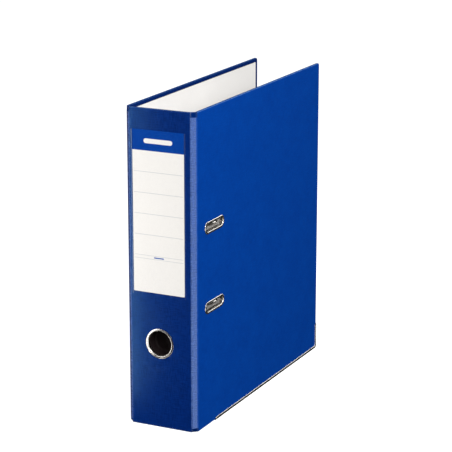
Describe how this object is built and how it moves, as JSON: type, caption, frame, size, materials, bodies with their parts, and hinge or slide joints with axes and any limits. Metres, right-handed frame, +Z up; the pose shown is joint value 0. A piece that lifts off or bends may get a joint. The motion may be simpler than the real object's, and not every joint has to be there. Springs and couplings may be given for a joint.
{
  "type": "lever arch file",
  "caption": "Upright lever arch file: blue creased case with spine label pocket, finger hole, slotted front cover, steel shoes, and an opening arch mechanism inside.",
  "frame": {"origin": "centre of the closed file's footprint, on the surface it stands on", "axes": "+Z up along the spine; +X through the thickness, from the back cover to the front cover; +Y from the spine to the fore-edge"},
  "size_m": [0.0766, 0.2916, 0.318],
  "materials": {
    "blue_covering": "satin, fine linen emboss",
    "grey_board": "matte",
    "white_lining": "matte",
    "label_card": "smooth",
    "clear_film": "clear",
    "nickel_steel": "nickel plated",
    "zinc_steel": "zinc plated",
    "spring_steel": "oiled",
    "black_plastic": "moulded"
  },
  "bodies": {
    "back_cover": {"back_cover_covering": "blue_covering", "back_cover_board": "grey_board", "back_cover_lining": "white_lining", "back_edge_shoe": "nickel_steel", "base_plate": "zinc_steel", "rivet_spine_side_lower": "nickel_steel", "rivet_spine_side_upper": "nickel_steel", "rivet_open_side_lower": "nickel_steel", "rivet_open_side_upper": "nickel_steel", "post_lower": "nickel_steel", "post_upper": "nickel_steel", "lever_pivot_pin": "nickel_steel", "bail_spring": "spring_steel"},
    "back_hinge": {"back_hinge_covering": "blue_covering", "back_hinge_board": "grey_board", "back_hinge_lining": "white_lining"},
    "spine": {"spine_covering": "blue_covering", "spine_board": "grey_board", "spine_lining": "white_lining", "finger_ring": "nickel_steel", "finger_cup": "black_plastic", "label_pocket": "clear_film"},
    "front_hinge": {"front_hinge_covering": "blue_covering", "front_hinge_board": "grey_board", "front_hinge_lining": "white_lining"},
    "front_cover": {"front_cover_covering": "blue_covering", "front_cover_board": "grey_board", "front_cover_lining": "white_lining", "front_edge_shoe": "nickel_steel", "slot_lower_outer_ring": "nickel_steel", "slot_lower_inner_ring": "nickel_steel", "slot_upper_outer_ring": "nickel_steel", "slot_upper_inner_ring": "nickel_steel"},
    "label_card": {"label_card": "label_card"},
    "arch_bail": {"arch_bail": "nickel_steel"},
    "lever": {"lever": "nickel_steel", "roller_pin": "nickel_steel"},
    "roller": {"roller": "zinc_steel"},
    "compressor_bar": {"compressor_bar": "nickel_steel"}
  },
  "joints": [
    {"name": "back_cover_crease", "type": "hinge", "parent": "back_cover", "child": "back_hinge", "pos_m": [-0.0375, -0.1404, 0.159], "axis": [0, 0, -1], "range_deg": [0, 45]},
    {"name": "back_spine_crease", "type": "hinge", "parent": "back_hinge", "child": "spine", "pos_m": [-0.0331, -0.1448, 0.159], "axis": [0, 0, -1], "range_deg": [0, 45]},
    {"name": "front_spine_crease", "type": "hinge", "parent": "spine", "child": "front_hinge", "pos_m": [0.0331, -0.1448, 0.159], "axis": [0, 0, -1], "range_deg": [0, 90]},
    {"name": "front_cover_crease", "type": "hinge", "parent": "front_hinge", "child": "front_cover", "pos_m": [0.0375, -0.1404, 0.159], "axis": [0, 0, -1], "range_deg": [0, 90]},
    {"name": "lever_swing", "type": "hinge", "parent": "back_cover", "child": "lever", "pos_m": [-0.0201, -0.0918, 0.175], "axis": [0, -1, 0], "range_deg": [0, 85]},
    {"name": "arch_swing", "type": "hinge", "parent": "back_cover", "child": "arch_bail", "pos_m": [-0.022, -0.1048, 0.161], "axis": [0, 0, -1], "range_deg": [0, 25.5]},
    {"name": "roller_spin", "type": "hinge", "parent": "lever", "child": "roller", "pos_m": [-0.02443, -0.0918, 0.1725], "axis": [0, 1, 0], "continuous": true},
    {"name": "compressor_slide", "type": "slide", "parent": "back_cover", "child": "compressor_bar", "axis": [1, 0, 0], "range_m": [0, 0.03]},
    {"name": "label_slide", "type": "slide", "parent": "spine", "child": "label_card", "axis": [0, 0, 1], "range_m": [0, 0.15]}
  ],
  "couplings": [
    {"joint": "back_cover_crease", "follows": "back_spine_crease", "ratio": 1},
    {"joint": "front_spine_crease", "follows": "front_cover_crease", "ratio": 1},
    {"joint": "arch_swing", "follows": "lever_swing", "ratio": 0.3}
  ]
}
